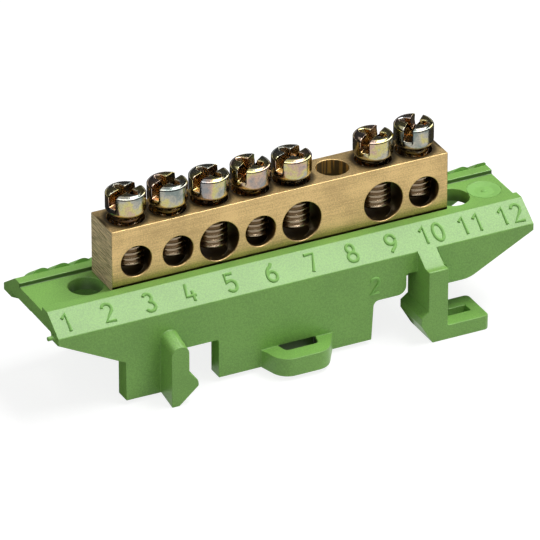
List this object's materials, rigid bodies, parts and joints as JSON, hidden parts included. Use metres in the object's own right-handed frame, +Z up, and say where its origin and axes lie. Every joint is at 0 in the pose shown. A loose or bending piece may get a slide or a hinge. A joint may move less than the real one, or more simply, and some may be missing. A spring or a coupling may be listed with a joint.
{
  "type": "earth terminal bar",
  "caption": "Brass terminal bar with cross-drilled wire holes and slotted clamp screws on a green clip-on plastic carrier for a top-hat rail.",
  "frame": {"origin": "middle of the overall length, the small nub on the left end included, on the plane of the lowest clip tips", "axes": "+X along the bar towards its last position, +Y towards the side without numbers, +Z up towards the screw heads"},
  "size_m": [0.0718, 0.0254, 0.0273],
  "materials": {
    "green_moulding": "fine satin moulded surface",
    "brass": "drawn faces, sawn ends",
    "zinc_plated_steel": "bright yellow passivated zinc"
  },
  "bodies": {
    "rail_carrier": {"carrier": "green_moulding", "terminal_bar": "brass"},
    "screw_1": {"clamp_screw_1": "zinc_plated_steel"},
    "screw_2": {"clamp_screw_2": "zinc_plated_steel"},
    "screw_3": {"clamp_screw_3": "zinc_plated_steel"},
    "screw_4": {"clamp_screw_4": "zinc_plated_steel"},
    "screw_5": {"clamp_screw_5": "zinc_plated_steel"},
    "screw_7": {"clamp_screw_7": "zinc_plated_steel"},
    "screw_8": {"clamp_screw_8": "zinc_plated_steel"}
  },
  "joints": [
    {"name": "screw_1_travel", "type": "slide", "parent": "rail_carrier", "child": "screw_1", "axis": [0, 0, 1], "range_m": [-0.00043, 0.00365]},
    {"name": "screw_2_travel", "type": "slide", "parent": "rail_carrier", "child": "screw_2", "axis": [0, 0, 1], "range_m": [-0.00038, 0.0037]},
    {"name": "screw_3_travel", "type": "slide", "parent": "rail_carrier", "child": "screw_3", "axis": [0, 0, 1], "range_m": [-0.00008, 0.00465]},
    {"name": "screw_4_travel", "type": "slide", "parent": "rail_carrier", "child": "screw_4", "axis": [0, 0, 1], "range_m": [-0.00016, 0.00392]},
    {"name": "screw_5_travel", "type": "slide", "parent": "rail_carrier", "child": "screw_5", "axis": [0, 0, 1], "range_m": [-0.00008, 0.00465]},
    {"name": "screw_7_travel", "type": "slide", "parent": "rail_carrier", "child": "screw_7", "axis": [0, 0, 1], "range_m": [-0.0001, 0.00463]},
    {"name": "screw_8_travel", "type": "slide", "parent": "rail_carrier", "child": "screw_8", "axis": [0, 0, 1], "range_m": [-0.0004, 0.00368]}
  ]
}
